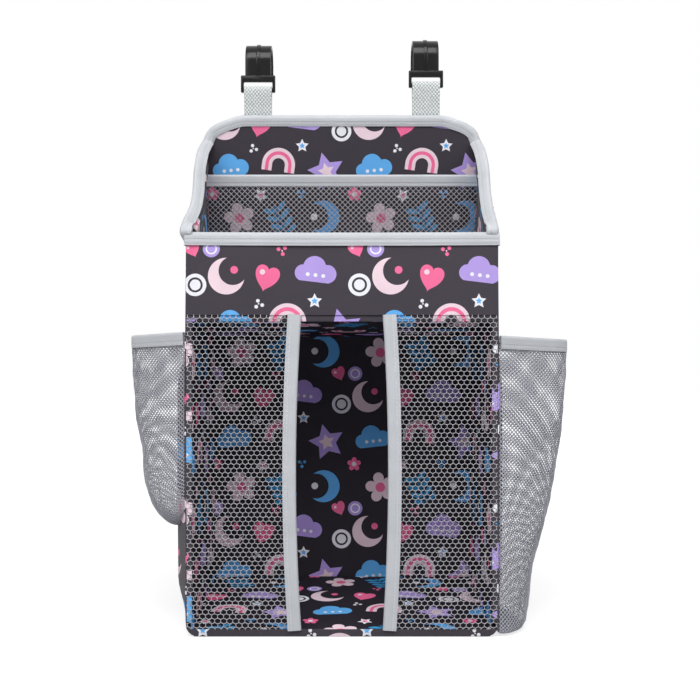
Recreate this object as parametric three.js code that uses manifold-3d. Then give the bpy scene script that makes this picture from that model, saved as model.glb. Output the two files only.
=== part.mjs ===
// Hanging nursery organiser: a stiffened fabric box with a netted, slit front,
// an open tray above it, a net pouch on each side and two strap hooks.
// Millimetres, +Z up. The origin is the centre of the base's underside.
// The front faces -Y, and the straps and hooks stand at the top of the back.

import * as THREE from 'three';
import { mergeVertices } from 'three/addons/utils/BufferGeometryUtils.js';
import Module from 'manifold-3d';

const wasm = await Module();
wasm.setup();

// Driving dimensions of the body
const bodyWidth = 252;
const bodyDepth = 155;
const boxHeight = 259; // base to the fold at the shelf's front edge
const upperPanelLength = 192; // fold to the top edge, along the leaning panel
const panelLean = THREE.MathUtils.degToRad(12);
const panelCornerRadius = 40;
const cornerSteps = 8;
const trayFrontHeight = 66.5;
const hemHeight = 5.5;
const sideBoardBottom = 12; // the sides' stiffeners stop above the soft lower seams
const floorRise = 12; // the floor insert's rear edge lies on the back seam
const shelfDrop = 9; // the shelf's rear edge lies lower than its front edge

// Materials of the walls
const fabric = 1;
const board = 2.4;
const gap = 0.3; // between pieces that touch
const net = 0.8;

// Bindings: folded tapes that grip an edge
const tapeWall = 0.8;
const tapeDepth = 9.8;
const slitTapeDepth = 10.6;

// Wings: the free edge of each side above the tray, from front to back
const wingStartHeight = 327;
const wingDip = [58, 352]; // distance behind the front, and height
const wingBend = [67, 385];
const wingShoulder = [72, 402];
const wingSteps = 9;

// Front slit
const slitHalfOpening = 33;
const slitBow = 4.3;
const slitSteps = 12;

// Nets drawn with their holes
const holeWidth = 15;
const holePitch = 17.4;
const holeRowPitch = 12.8;
const holeMargin = 3;

// Tray net pocket
const trayPocketDepth = 14;
const trayPocketDrop = 53; // along the panel, from its top edge to the pocket's mouth

// Side pockets. The drop is from the box's top, and reach is how far the net stands off.
const sidePockets = {
  left: { bottom: 79, drop: 14, lowReach: 38, highReach: 19, roundShare: 0.3 },
  right: { bottom: 4, drop: 17, lowReach: 31, highReach: 37, roundShare: 0.05 },
};
const pocketFrontInset = 4;
const pocketRearInset = 7;
const pocketSteps = 20;
const pocketRoundRows = 4;
const pocketPlainRows = 6;
const pocketLowSkew = 0.55; // under 1, the pouch is fullest towards the front

// Straps and hooks
const strapSpacing = 154;
const webbingWidth = 25;
const webbing = 1.5;
const strapTailLength = 52;
const strapLengths = { left: 21, right: 25.5 }; // hinge at the top edge to the bar
const strapSteps = 12; // to a half turn
const barHeight = 3.4;
const barDepth = 3;
const frameWidth = 31.6;
const frameHeight = 15.6;
const frameDepth = 4;
const frameSlotHeight = 6.2;
const hookWidth = 23.6;
const hookThickness = 3;
const hookInnerRadius = 15;
const hookHeight = 47.4; // underside of the bar to the crown
const hookTipAngle = THREE.MathUtils.degToRad(-10);
const hookSteps = 18;
const hookLip = 5;
const hookLipTurn = THREE.MathUtils.degToRad(36);
const ribWidth = 3.6;
const ribHeight = 1.2;
const ribShare = 0.55; // of the crook, from the frame up

// Values worked out from the driving dimensions
const halfWidth = bodyWidth / 2;
const halfDepth = bodyDepth / 2;
const boardFrom = fabric + gap;
const boardTo = boardFrom + board;
const liningFrom = boardTo + gap;
const wall = liningFrom + fabric;
const inside = wall + gap;
const sheetHalfWidth = halfWidth - fabric - gap; // fits between the side fabrics
const insertHalfWidth = halfWidth - inside;
const trayFrontTop = boxHeight + trayFrontHeight;
const trayPocketTop = upperPanelLength - trayPocketDrop;
const tapeRelief = tapeWall + gap; // tape's outer edge to the edge that it grips
const gussetThickness = 2 * fabric + gap;
const hingeLift = webbing + gap; // the strap turns just above the panel's top edge
const slitTapeBehind = net + gap + tapeWall; // front plane to the slit binding's rear

const X = new THREE.Vector3(1, 0, 0);
const Z = new THREE.Vector3(0, 0, 1);
const panelUp = new THREE.Vector3(0, -Math.sin(panelLean), Math.cos(panelLean));
const panelInward = new THREE.Vector3().crossVectors(X, panelUp);
const fold = new THREE.Vector3(0, halfDepth, boxHeight);
const panelPlace = new THREE.Matrix4().makeBasis(X, panelUp, panelInward).setPosition(fold);

const printedFabric = { color: 0x453e48, roughness: 0.86, metalness: 0 };
const boardStock = { color: 0xd9d6cf, roughness: 0.9, metalness: 0 };
const greyTape = { color: 0xc8cccf, roughness: 0.78, metalness: 0 };
const greyNet = { color: 0xa5a3a7, roughness: 0.7, metalness: 0 };
const greyWebbing = { color: 0xc5ccca, roughness: 0.82, metalness: 0 };
const blackPlastic = { color: 0x101113, roughness: 0.25, metalness: 0 };

const organizer = new THREE.Group();

function addPiece(name, geometry, finish) {
  const mesh = new THREE.Mesh(geometry, new THREE.MeshStandardMaterial(finish));
  mesh.name = name;
  organizer.add(mesh);
  return mesh;
}

// Solids

function signedVolume(positions, triangles) {
  const a = new THREE.Vector3();
  const b = new THREE.Vector3();
  const c = new THREE.Vector3();
  let volume = 0;
  for (let i = 0; i < triangles.length; i += 3) {
    a.fromArray(positions, triangles[i] * 3);
    b.fromArray(positions, triangles[i + 1] * 3);
    c.fromArray(positions, triangles[i + 2] * 3);
    volume += a.dot(b.cross(c)) / 6;
  }
  return volume;
}

function closedBody(points, triangles) {
  const positions = points.flatMap((point) => point.toArray());
  const faces = signedVolume(positions, triangles) < 0 ? [...triangles].reverse() : triangles;
  const geometry = new THREE.BufferGeometry();
  geometry.setAttribute('position', new THREE.Float32BufferAttribute(positions, 3));
  geometry.setIndex(faces);
  return geometry;
}

function toSolid(geometry) {
  const bare = geometry.clone();
  bare.deleteAttribute('normal');
  bare.deleteAttribute('uv');
  const merged = mergeVertices(bare, 1e-4);
  const vertProperties = Float32Array.from(merged.attributes.position.array);
  const triVerts = Uint32Array.from(merged.index.array);
  return new wasm.Manifold(new wasm.Mesh({ numProp: 3, vertProperties, triVerts }));
}

function toGeometry(solid) {
  const { vertProperties, triVerts } = solid.getMesh();
  const geometry = new THREE.BufferGeometry();
  geometry.setAttribute('position', new THREE.BufferAttribute(vertProperties, 3));
  geometry.setIndex(new THREE.BufferAttribute(triVerts, 1));
  return geometry;
}

function toVectors(pairs) {
  return pairs.map(([x, y]) => new THREE.Vector2(x, y));
}

// An outline of [x, y] pairs, with any holes, given a thickness along its local Z
function plate(outline, from, to, holes = []) {
  const shape = new THREE.Shape(toVectors(outline));
  shape.holes = holes.map((hole) => new THREE.Path(toVectors(hole)));
  const options = { depth: to - from, bevelEnabled: false };
  return new THREE.ExtrudeGeometry(shape, options).translate(0, 0, from);
}

// The outline is [y, z] and the plate runs along X
function plateAlongX(outline, from, to, holes) {
  const place = new THREE.Matrix4().makeBasis(new THREE.Vector3(0, 1, 0), Z, X);
  return plate(outline, from, to, holes).applyMatrix4(place);
}

// The outline is [x, z] and the plate lies behind the front plane, between two depths
function plateInFront(outline, from, to, holes) {
  const place = new THREE.Matrix4().makeRotationX(Math.PI / 2);
  return plate(outline, -to, -from, holes).applyMatrix4(place).translate(0, -halfDepth, 0);
}

function rectangle(x0, x1, y0, y1) {
  return [[x0, y0], [x1, y0], [x1, y1], [x0, y1]];
}

function block(x0, x1, y0, y1, z0, z1) {
  const box = new THREE.BoxGeometry(x1 - x0, y1 - y0, z1 - z0);
  return box.translate((x0 + x1) / 2, (y0 + y1) / 2, (z0 + z1) / 2);
}

// A closed section of [u, v] pairs carried through stations of a point and two directions
function sweep(profile, stations) {
  const turnsLeft = THREE.ShapeUtils.area(toVectors(profile)) > 0;
  const section = turnsLeft ? profile : [...profile].reverse();
  const count = section.length;
  const points = stations.flatMap(({ at, u, v }) =>
    section.map(([a, b]) => at.clone().addScaledVector(u, a).addScaledVector(v, b))
  );
  const triangles = [];
  for (let ring = 0; ring + 1 < stations.length; ring += 1) {
    for (let i = 0; i < count; i += 1) {
      const a = ring * count + i;
      const b = ring * count + ((i + 1) % count);
      triangles.push(a, b, b + count, a, b + count, a + count);
    }
  }
  const last = (stations.length - 1) * count;
  for (const [a, b, c] of THREE.ShapeUtils.triangulateShape(toVectors(section), [])) {
    triangles.push(a, c, b, last + a, last + b, last + c);
  }
  return closedBody(points, triangles);
}

// Folded tape: a channel whose slot takes a sheet of the given thickness
function tapeSection(grip, depth = tapeDepth) {
  const slot = grip / 2 + gap;
  const outer = slot + tapeWall;
  return [
    [-outer, 0],
    [outer, 0],
    [outer, depth],
    [slot, depth],
    [slot, tapeWall],
    [-slot, tapeWall],
    [-slot, depth],
    [-outer, depth],
  ];
}

// Normals of a flat path, on its left, from the neighbouring points
function leftNormals(path) {
  return path.map((point, i) => {
    const before = path[Math.max(i - 1, 0)];
    const after = path[Math.min(i + 1, path.length - 1)];
    const along = new THREE.Vector2(after[0] - before[0], after[1] - before[1]).normalize();
    return [-along.y, along.x];
  });
}

function offsetPath(path, distance) {
  const normals = leftNormals(path);
  return path.map(([a, b], i) => [a + normals[i][0] * distance, b + normals[i][1] * distance]);
}

function arcPath(centre, radius, from, to, steps) {
  return Array.from({ length: steps + 1 }, (_, i) => {
    const angle = from + ((to - from) * i) / steps;
    return [centre[0] + radius * Math.cos(angle), centre[1] + radius * Math.sin(angle)];
  });
}

// Back panel: upright behind the box, leaning forward above the fold

// A point of the panel's section, as [y, z]
function panelPoint(inward, along) {
  const point = new THREE.Vector3(0, along, inward).applyMatrix4(panelPlace);
  return [point.y, point.z];
}

// The bend of a layer, where its upright and leaning lines meet, as [y, z]
function foldPoint(inward) {
  return [halfDepth - inward, boxHeight - inward * Math.tan(panelLean / 2)];
}

// The panel's round-cornered top as [x, along] pairs, inset from its bound edge
function panelTopOutline(inset) {
  const radius = panelCornerRadius - inset;
  const side = halfWidth + tapeRelief - inset;
  const cornerX = side - radius;
  const cornerAt = upperPanelLength - inset - radius;
  const right = arcPath([cornerX, cornerAt], radius, 0, Math.PI / 2, cornerSteps);
  const left = arcPath([-cornerX, cornerAt], radius, Math.PI / 2, Math.PI, cornerSteps);
  return [...right, ...left];
}

function panelLayer(from, to, bottom, layerHalfWidth) {
  const top = upperPanelLength - tapeRelief;
  const bent = [
    [halfDepth - from, bottom],
    foldPoint(from),
    panelPoint(from, top),
    panelPoint(to, top),
    foldPoint(to),
    [halfDepth - to, bottom],
  ];
  const strip = plateAlongX(bent, -layerHalfWidth, layerHalfWidth);
  const trim = panelTopOutline(tapeRelief);
  const low = upperPanelLength / 2 - panelCornerRadius; // below the rounded corners
  const outline = [[-halfWidth, low], [halfWidth, low], ...trim];
  const upper = plate(outline, -wall, 2 * wall).applyMatrix4(panelPlace);
  const lower = block(-halfWidth, halfWidth, 0, halfDepth + wall, 0, panelPoint(0, 1.5 * low)[1]);
  const kept = toSolid(upper).add(toSolid(lower));
  return toSolid(strip).intersect(kept);
}

function splitPanelLayer(from, to, bottom, layerHalfWidth) {
  const whole = panelLayer(from, to, bottom, layerHalfWidth);
  const far = 2 * (boxHeight + upperPanelLength); // past the panel's own size
  const below = toSolid(block(-far, far, -far, far, -far, boxHeight - shelfDrop));
  const above = toSolid(block(-far, far, -far, far, boxHeight - shelfDrop + gap, far));
  return [toGeometry(whole.intersect(below)), toGeometry(whole.intersect(above))];
}

function addBack() {
  const outer = panelLayer(0, fabric, 0, halfWidth);
  addPiece('back_outer_fabric', toGeometry(outer), printedFabric);
  const [lower, upper] = splitPanelLayer(boardFrom, boardTo, boardFrom, sheetHalfWidth);
  addPiece('back_board_lower', lower, boardStock);
  addPiece('back_board_upper', upper, boardStock);
  const lining = panelLayer(liningFrom, wall, boardFrom, sheetHalfWidth);
  addPiece('back_lining', toGeometry(lining), printedFabric);

  const path = panelTopOutline(0);
  const inward = leftNormals(path);
  const stations = path.map(([x, along], i) => ({
    at: new THREE.Vector3(x, along, wall / 2),
    u: Z,
    v: new THREE.Vector3(inward[i][0], inward[i][1], 0),
  }));
  const tape = sweep(tapeSection(wall), stations).applyMatrix4(panelPlace);
  addPiece('top_binding', tape, greyTape);
}

// Sides

const shelfSlope = -shelfDrop / (bodyDepth - 2 * wall);
const floorSlope = floorRise / (bodyDepth - 2 * wall);
const frontEdge = -halfDepth + slitTapeBehind + gap;
const rearEdge = halfDepth - inside;

function sloped(height, slope, y) {
  return height + slope * (y - frontEdge);
}

// The bound edge of a wing, front to back, as [y, z]
function wingEdge() {
  const place = ([behind, height]) => new THREE.Vector2(behind - halfDepth, height);
  const start = place([0, wingStartHeight]);
  const bend = place(wingBend);
  const end = new THREE.Vector2(
    ...panelPoint(wall + 2 * tapeRelief, upperPanelLength - panelCornerRadius - tapeRelief)
  );
  const lower = new THREE.QuadraticBezierCurve(start, place(wingDip), bend);
  const upper = new THREE.QuadraticBezierCurve(bend, place(wingShoulder), end);
  const points = [...lower.getPoints(wingSteps), ...upper.getPoints(wingSteps).slice(1)];
  return points.map((point) => point.toArray());
}

// A sheet under the wing's edge, between a front line and a panel layer, above a floor line
function sideOutline(front, inward, floorLine) {
  const edge = offsetPath(wingEdge(), -tapeRelief).filter(([y]) => y > front);
  const first = edge[0];
  const last = edge[edge.length - 1];
  const lineUp = upperPanelLength - panelCornerRadius - 2 * tapeRelief;
  const rear = [panelPoint(inward, lineUp), foldPoint(inward)];
  const flatEnd = last[1] < rear[0][1] ? [] : [[rear[0][0], last[1]]];
  return [[front, first[1]], ...edge, ...flatEnd, ...rear, ...floorLine];
}

function addSide(side, sign) {
  const pair = (from, to) => (sign > 0 ? [from, to] : [-to, -from]);
  const outer = sideOutline(-halfDepth, boardFrom, [
    [halfDepth - boardFrom, 0],
    [-halfDepth, 0],
  ]);
  const outerPlate = plateAlongX(outer, ...pair(halfWidth - fabric, halfWidth));
  addPiece(`side_outer_fabric_${side}`, outerPlate, printedFabric);

  const underShelf = boxHeight - wall - gap;
  const boxSide = (bottom) => [
    [frontEdge, bottom],
    [rearEdge, bottom],
    [rearEdge, sloped(underShelf, shelfSlope, rearEdge)],
    [frontEdge, underShelf],
  ];
  const boardAcross = pair(halfWidth - boardTo, halfWidth - boardFrom);
  const boardPlate = plateAlongX(boxSide(sideBoardBottom), ...boardAcross);
  addPiece(`side_board_${side}`, boardPlate, boardStock);
  const liningAcross = pair(halfWidth - wall, halfWidth - liningFrom);
  const liningPlate = plateAlongX(boxSide(boardFrom), ...liningAcross);
  addPiece(`side_lining_${side}`, liningPlate, printedFabric);

  const trayFrontInside = -halfDepth + wall + gap + tapeRelief;
  const trayFloor = [
    [rearEdge, sloped(boxHeight + gap, shelfSlope, rearEdge)],
    [trayFrontInside, sloped(boxHeight + gap, shelfSlope, trayFrontInside)],
  ];
  const gusset = sideOutline(trayFrontInside, inside, trayFloor);
  const gussetFrom = halfWidth - gussetThickness;
  const gussetPlate = plateAlongX(gusset, ...pair(gussetFrom, gussetFrom + fabric));
  addPiece(`tray_side_lining_${side}`, gussetPlate, printedFabric);

  const path = wingEdge().filter(([y]) => y > trayFrontInside + gap);
  const up = leftNormals(path);
  const stations = path.map(([y, z], i) => ({
    at: new THREE.Vector3(sign * (halfWidth - gussetThickness / 2), y, z),
    u: X,
    v: new THREE.Vector3(0, -up[i][0], -up[i][1]),
  }));
  addPiece(`wing_binding_${side}`, sweep(tapeSection(gussetThickness), stations), greyTape);
}

// Base and shelf

function slopedSheet(height, slope, from, to, sheetWidth) {
  const outline = [
    [frontEdge, height + from],
    [rearEdge, sloped(height + from, slope, rearEdge)],
    [rearEdge, sloped(height + to, slope, rearEdge)],
    [frontEdge, height + to],
  ];
  return plateAlongX(outline, -sheetWidth, sheetWidth);
}

function addBase() {
  const edge = halfDepth - boardFrom;
  const under = block(-sheetHalfWidth, sheetHalfWidth, -edge, edge, 0, fabric);
  addPiece('base_outer_fabric', under, printedFabric);
  const stiffener = slopedSheet(0, floorSlope, boardFrom, boardTo, insertHalfWidth);
  addPiece('base_board', stiffener, boardStock);
  const lining = slopedSheet(0, floorSlope, liningFrom, wall, insertHalfWidth);
  addPiece('base_lining', lining, printedFabric);
  const hem = rectangle(-sheetHalfWidth, sheetHalfWidth, 0, hemHeight);
  addPiece('base_front_hem', plateInFront(hem, 0, fabric), printedFabric);
}

function addShelf() {
  const low = boxHeight - wall;
  const under = slopedSheet(low, shelfSlope, 0, fabric, sheetHalfWidth);
  addPiece('shelf_under_fabric', under, printedFabric);
  const stiffener = slopedSheet(low, shelfSlope, boardFrom, boardTo, sheetHalfWidth);
  addPiece('shelf_board', stiffener, boardStock);
  const top = slopedSheet(low, shelfSlope, liningFrom, wall, sheetHalfWidth);
  addPiece('shelf_top_fabric', top, printedFabric);
}

// Tray

function addTrayFront() {
  const top = trayFrontTop - tapeRelief;
  const outer = rectangle(-sheetHalfWidth, sheetHalfWidth, boxHeight, top);
  addPiece('tray_front_fabric', plateInFront(outer, 0, fabric), printedFabric);
  const inner = rectangle(-sheetHalfWidth, sheetHalfWidth, boxHeight + gap, top);
  addPiece('tray_front_board', plateInFront(inner, boardFrom, boardTo), boardStock);
  addPiece('tray_front_lining', plateInFront(inner, liningFrom, wall), printedFabric);

  const stations = [-sheetHalfWidth, sheetHalfWidth].map((x) => ({
    at: new THREE.Vector3(x, -halfDepth + wall / 2, trayFrontTop),
    u: new THREE.Vector3(0, 1, 0),
    v: new THREE.Vector3(0, 0, -1),
  }));
  addPiece('tray_front_binding', sweep(tapeSection(wall), stations), greyTape);
}

// Honeycomb holes inside a rectangle, kept where the test allows all their corners
function honeycomb(x0, x1, y0, y1, allowed) {
  const columns = Math.floor((x1 - x0) / holePitch);
  const rows = Math.floor((y1 - y0) / holeRowPitch);
  const holes = [];
  for (let row = 0; row < rows; row += 1) {
    for (let column = 0; column < columns; column += 1) {
      const shift = row % 2 ? holePitch / 4 : -holePitch / 4;
      const cx = (x0 + x1) / 2 + (column - (columns - 1) / 2) * holePitch + shift;
      const cy = (y0 + y1) / 2 + (row - (rows - 1) / 2) * holeRowPitch;
      const half = holeWidth / 2;
      const peak = (holeRowPitch * 2) / 3 - (holePitch - holeWidth) / 2;
      const hole = [
        [cx + half, cy - peak / 2],
        [cx + half, cy + peak / 2],
        [cx, cy + peak],
        [cx - half, cy + peak / 2],
        [cx - half, cy - peak / 2],
        [cx, cy - peak],
      ];
      if (hole.every(allowed)) holes.push(hole);
    }
  }
  return holes;
}

function addTrayNet() {
  const netHalf = halfWidth - gussetThickness - gap;
  const from = wall + trayPocketDepth;
  const shelfAtNet = sloped(boxHeight + gap, shelfSlope, halfDepth - from - net);
  const foot = (shelfAtNet - boxHeight + (from + net) * Math.sin(panelLean)) / Math.cos(panelLean);
  const top = trayPocketTop - tapeRelief;
  const holeTop = trayPocketTop - tapeDepth - holeMargin;
  const inNet = ([x, along]) =>
    Math.abs(x) < netHalf - holeMargin && along > foot + holeMargin / 2 && along < holeTop;
  const holes = honeycomb(-netHalf, netHalf, foot, holeTop, inNet);
  const sheet = plate(rectangle(-netHalf, netHalf, foot, top), from, from + net, holes);
  addPiece('tray_pocket_net', sheet.applyMatrix4(panelPlace), greyNet);

  const stations = [-netHalf, netHalf].map((x) => ({
    at: new THREE.Vector3(x, trayPocketTop, from + net / 2),
    u: Z,
    v: new THREE.Vector3(0, -1, 0),
  }));
  const tape = sweep(tapeSection(net), stations).applyMatrix4(panelPlace);
  addPiece('tray_pocket_binding', tape, greyTape);
}

// Front nets, either side of the slit

function slitEdge(height) {
  const share = (2 * (height - hemHeight)) / (boxHeight - hemHeight) - 1;
  return slitHalfOpening + slitBow * (1 - share * share);
}

function addFrontNet(side, sign) {
  const bottom = hemHeight + gap;
  const top = boxHeight - gap;
  const rise = (top - bottom) / slitSteps;
  const heights = Array.from({ length: slitSteps + 1 }, (_, i) => bottom + rise * i);
  const edge = heights.map((z) => [sign * (slitEdge(z) + tapeRelief), z]);
  const outline = [[sign * sheetHalfWidth, bottom], ...edge, [sign * sheetHalfWidth, top]];
  const inNet = ([x, z]) =>
    Math.abs(x) < sheetHalfWidth - holeMargin &&
    Math.abs(x) > slitEdge(z) + slitTapeDepth + holeMargin / 2 &&
    z > bottom + holeMargin &&
    z < top - holeMargin;
  const slitSide = slitHalfOpening + slitBow + slitTapeDepth;
  const xs = [sign * slitSide, sign * sheetHalfWidth].sort((a, b) => a - b);
  const holes = honeycomb(xs[0], xs[1], bottom, top, inNet);
  addPiece(`front_net_${side}`, plateInFront(outline, 0, net, holes), greyNet);

  const stations = heights.map((z) => ({
    at: new THREE.Vector3(sign * slitEdge(z), -halfDepth + net / 2, z),
    u: new THREE.Vector3(0, 1, 0),
    v: new THREE.Vector3(sign, 0, 0),
  }));
  addPiece(`slit_binding_${side}`, sweep(tapeSection(net, slitTapeDepth), stations), greyTape);
}

// Side pockets: net pouches sewn to each side

function pocketMid(pocket, sign, across, height, roundness) {
  const share = (height - pocket.bottom) / (pocket.top - pocket.bottom);
  const fullness = Math.sin((share * Math.PI) / 2);
  const reach = (pocket.lowReach + pocket.highReach * fullness) * roundness;
  const skew = THREE.MathUtils.lerp(pocketLowSkew, 1, fullness);
  const front = -halfDepth + pocketFrontInset;
  const rear = halfDepth - pocketRearInset;
  const standOff = gap + net / 2;
  const out = halfWidth + standOff + reach * Math.sin(Math.PI * across ** skew);
  return new THREE.Vector3(sign * out, front + (rear - front) * across, height);
}

// Rows of a pocket from its bottom seam to its mouth, as a height and a roundness
function pocketRows(pocket, top) {
  const tall = pocket.top - pocket.bottom;
  const roundTall = tall * pocket.roundShare;
  const rows = [];
  for (let i = 0; i <= pocketRoundRows; i += 1) {
    const angle = (i / pocketRoundRows) * (Math.PI / 2);
    rows.push([pocket.bottom + roundTall * (1 - Math.cos(angle)), Math.sin(angle)]);
  }
  const start = pocket.bottom + roundTall;
  for (let i = 1; i <= pocketPlainRows; i += 1) {
    rows.push([start + ((top - start) * i) / pocketPlainRows, 1]);
  }
  return rows;
}

// Level direction out of the mouth's edge
function mouthNormal(pocket, sign, across) {
  const step = 1 / (4 * pocketSteps);
  const a = pocketMid(pocket, sign, across - step, pocket.top, 1);
  const b = pocketMid(pocket, sign, across + step, pocket.top, 1);
  const along = b.sub(a).normalize();
  return new THREE.Vector3(along.y, -along.x, 0).multiplyScalar(sign);
}

function addSidePocket(side, sign) {
  const pocket = { ...sidePockets[side], top: boxHeight - sidePockets[side].drop };
  const rows = pocketRows(pocket, pocket.top - tapeRelief);
  const columns = pocketSteps + 1;
  const mid = rows.map(([height, roundness]) =>
    Array.from({ length: columns }, (_, i) =>
      pocketMid(pocket, sign, i / pocketSteps, height, roundness)
    )
  );
  const normals = mid.map((row, r) =>
    row.map((point, i) => {
      const alongRow = row[Math.min(i + 1, columns - 1)].clone().sub(row[Math.max(i - 1, 0)]);
      const below = mid[Math.max(r - 1, 0)][i];
      const above = mid[Math.min(r + 1, rows.length - 1)][i];
      const up = above.clone().sub(below);
      return alongRow.cross(up).multiplyScalar(sign).normalize();
    })
  );
  const shifted = (distance) =>
    mid.flatMap((row, r) => row.map((p, i) => p.clone().addScaledVector(normals[r][i], distance)));
  const outer = shifted(net / 2);
  const inner = shifted(-net / 2);
  const keepOff = halfWidth + gap;
  const points = [...outer, ...inner].map((p) => p.setX(sign * Math.max(sign * p.x, keepOff)));
  const skin = outer.length;
  const triangles = [];
  const quad = (a, b, c, d) => triangles.push(a, b, c, a, c, d);
  for (let r = 0; r + 1 < rows.length; r += 1) {
    for (let i = 0; i < pocketSteps; i += 1) {
      const a = r * columns + i;
      quad(a, a + 1, a + 1 + columns, a + columns);
      quad(a + skin, a + columns + skin, a + 1 + columns + skin, a + 1 + skin);
    }
    const left = r * columns;
    const right = left + pocketSteps;
    quad(left, left + columns, left + columns + skin, left + skin);
    quad(right, right + skin, right + columns + skin, right + columns);
  }
  const topRow = (rows.length - 1) * columns;
  for (let i = 0; i < pocketSteps; i += 1) {
    quad(i, i + skin, i + 1 + skin, i + 1);
    quad(topRow + i, topRow + i + 1, topRow + i + 1 + skin, topRow + i + skin);
  }
  addPiece(`side_pocket_net_${side}`, closedBody(points, triangles), greyNet);

  const trim = 1 / (2 * pocketSteps);
  const acrossAt = (i) => THREE.MathUtils.clamp(i / pocketSteps, trim, 1 - trim);
  const stations = Array.from({ length: columns }, (_, i) => ({
    at: pocketMid(pocket, sign, acrossAt(i), pocket.top, 1),
    u: mouthNormal(pocket, sign, acrossAt(i)),
    v: new THREE.Vector3(0, 0, -1),
  }));
  addPiece(`side_pocket_binding_${side}`, sweep(tapeSection(net), stations), greyTape);
}

// Straps and hooks

const tailInward = -(tapeRelief + gap + webbing); // on the rear of the top binding
const strapAxis = panelPoint(tailInward + webbing / 2, upperPanelLength + hingeLift);

function addStrap(side, sign) {
  const centre = (sign * strapSpacing) / 2;
  const from = centre - webbingWidth / 2;
  const to = centre + webbingWidth / 2;
  const strip = rectangle(from, to, upperPanelLength - strapTailLength, upperPanelLength);
  const tail = plate(strip, tailInward, tailInward + webbing).applyMatrix4(panelPlace);
  addPiece(`strap_tail_${side}`, tail, greyWebbing);

  // Two plies sewn together below the bar, parted around it
  const [y, z] = strapAxis;
  const barZ = z + strapLengths[side];
  const holeRadius = Math.hypot(barHeight, barDepth) / 2 + gap;
  const outerRadius = holeRadius + webbing;
  const neck = barZ - 2 * outerRadius;
  const crown = arcPath([y, barZ], outerRadius, 0, Math.PI, strapSteps);
  const foot = arcPath([y, z], webbing, Math.PI, 2 * Math.PI, strapSteps);
  const outline = [...foot, [y + webbing, neck], ...crown, [y - webbing, neck]];
  const hole = arcPath([y, barZ], holeRadius, 0, 2 * Math.PI, 2 * strapSteps).slice(0, -1);
  addPiece(`strap_loop_${side}`, plateAlongX(outline, from, to, [hole]), greyWebbing);

  const hook = hookGeometry().translate(centre, y, barZ);
  addPiece(`hook_${side}`, hook, blackPlastic);
}

// One moulding: a slotted frame, a neck and a crook that opens to the rear.
// Its local origin is the middle of the bar that the strap goes round.
function hookGeometry() {
  const barUnder = -barHeight / 2;
  const frameTop = barUnder + frameHeight;
  const slotHalf = webbingWidth / 2 + 2 * gap;
  const ring = rectangle(-frameWidth / 2, frameWidth / 2, barUnder, frameTop);
  const slotTop = barHeight / 2 + frameSlotHeight;
  const slot = rectangle(-slotHalf, slotHalf, barHeight / 2, slotTop);
  const turned = new THREE.Matrix4().makeRotationX(Math.PI / 2);
  const frame = plate(ring, -frameDepth / 2, frameDepth / 2, [slot]).applyMatrix4(turned);
  const thin = (frameDepth - barDepth) / 2;
  const shave = [-1, 1].map((face) => {
    const y0 = face > 0 ? barDepth / 2 : -barDepth / 2 - thin - gap;
    return block(-slotHalf, slotHalf, y0, y0 + thin + gap, barUnder - gap, barHeight / 2 + gap);
  });
  const slimBar = shave.reduce((solid, cut) => solid.subtract(toSolid(cut)), toSolid(frame));

  const radius = hookInnerRadius + hookThickness / 2;
  const crown = barUnder + hookHeight;
  const centre = [radius, crown - hookThickness / 2 - radius];
  const crook = arcPath(centre, radius, Math.PI, hookTipAngle, hookSteps);
  const tip = crook[crook.length - 1];
  const lipAngle = hookTipAngle - hookLipTurn;
  const lip = [tip[0] + hookLip * Math.cos(lipAngle), tip[1] + hookLip * Math.sin(lipAngle)];
  const path = [[0, frameTop - hookThickness / 2], ...crook, lip];
  const strip = sweep(ribbonSection(hookWidth, hookThickness), flatStations(path));

  const ribPath = offsetPath(path.slice(0, Math.ceil(hookSteps * ribShare)), hookThickness / 2);
  const ribbed = sweep(ribbonSection(ribWidth, 2 * ribHeight), flatStations(ribPath));
  return toGeometry(slimBar.add(toSolid(strip)).add(toSolid(ribbed)));
}

function ribbonSection(width, thickness) {
  return rectangle(-width / 2, width / 2, -thickness / 2, thickness / 2);
}

// Stations of a path of [y, z] pairs, with u along X
function flatStations(path) {
  const normals = leftNormals(path);
  return path.map(([y, z], i) => ({
    at: new THREE.Vector3(0, y, z),
    u: X,
    v: new THREE.Vector3(0, normals[i][0], normals[i][1]),
  }));
}

addBack();
addSide('left', -1);
addSide('right', 1);
addBase();
addShelf();
addTrayFront();
addTrayNet();
addFrontNet('left', -1);
addFrontNet('right', 1);
addSidePocket('left', -1);
addSidePocket('right', 1);
addStrap('left', -1);
addStrap('right', 1);

export default organizer;
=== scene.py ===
# Hanging nursery organiser: a printed fabric box with a netted, slit front,
# an open tray above it, a net pouch on each side and two strap hooks.
# Metres, +Z up, the front faces -Y.

from itertools import accumulate
from math import ceil, copysign, cos, degrees, exp, hypot, pi, radians, sin, sqrt, tan

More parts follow.
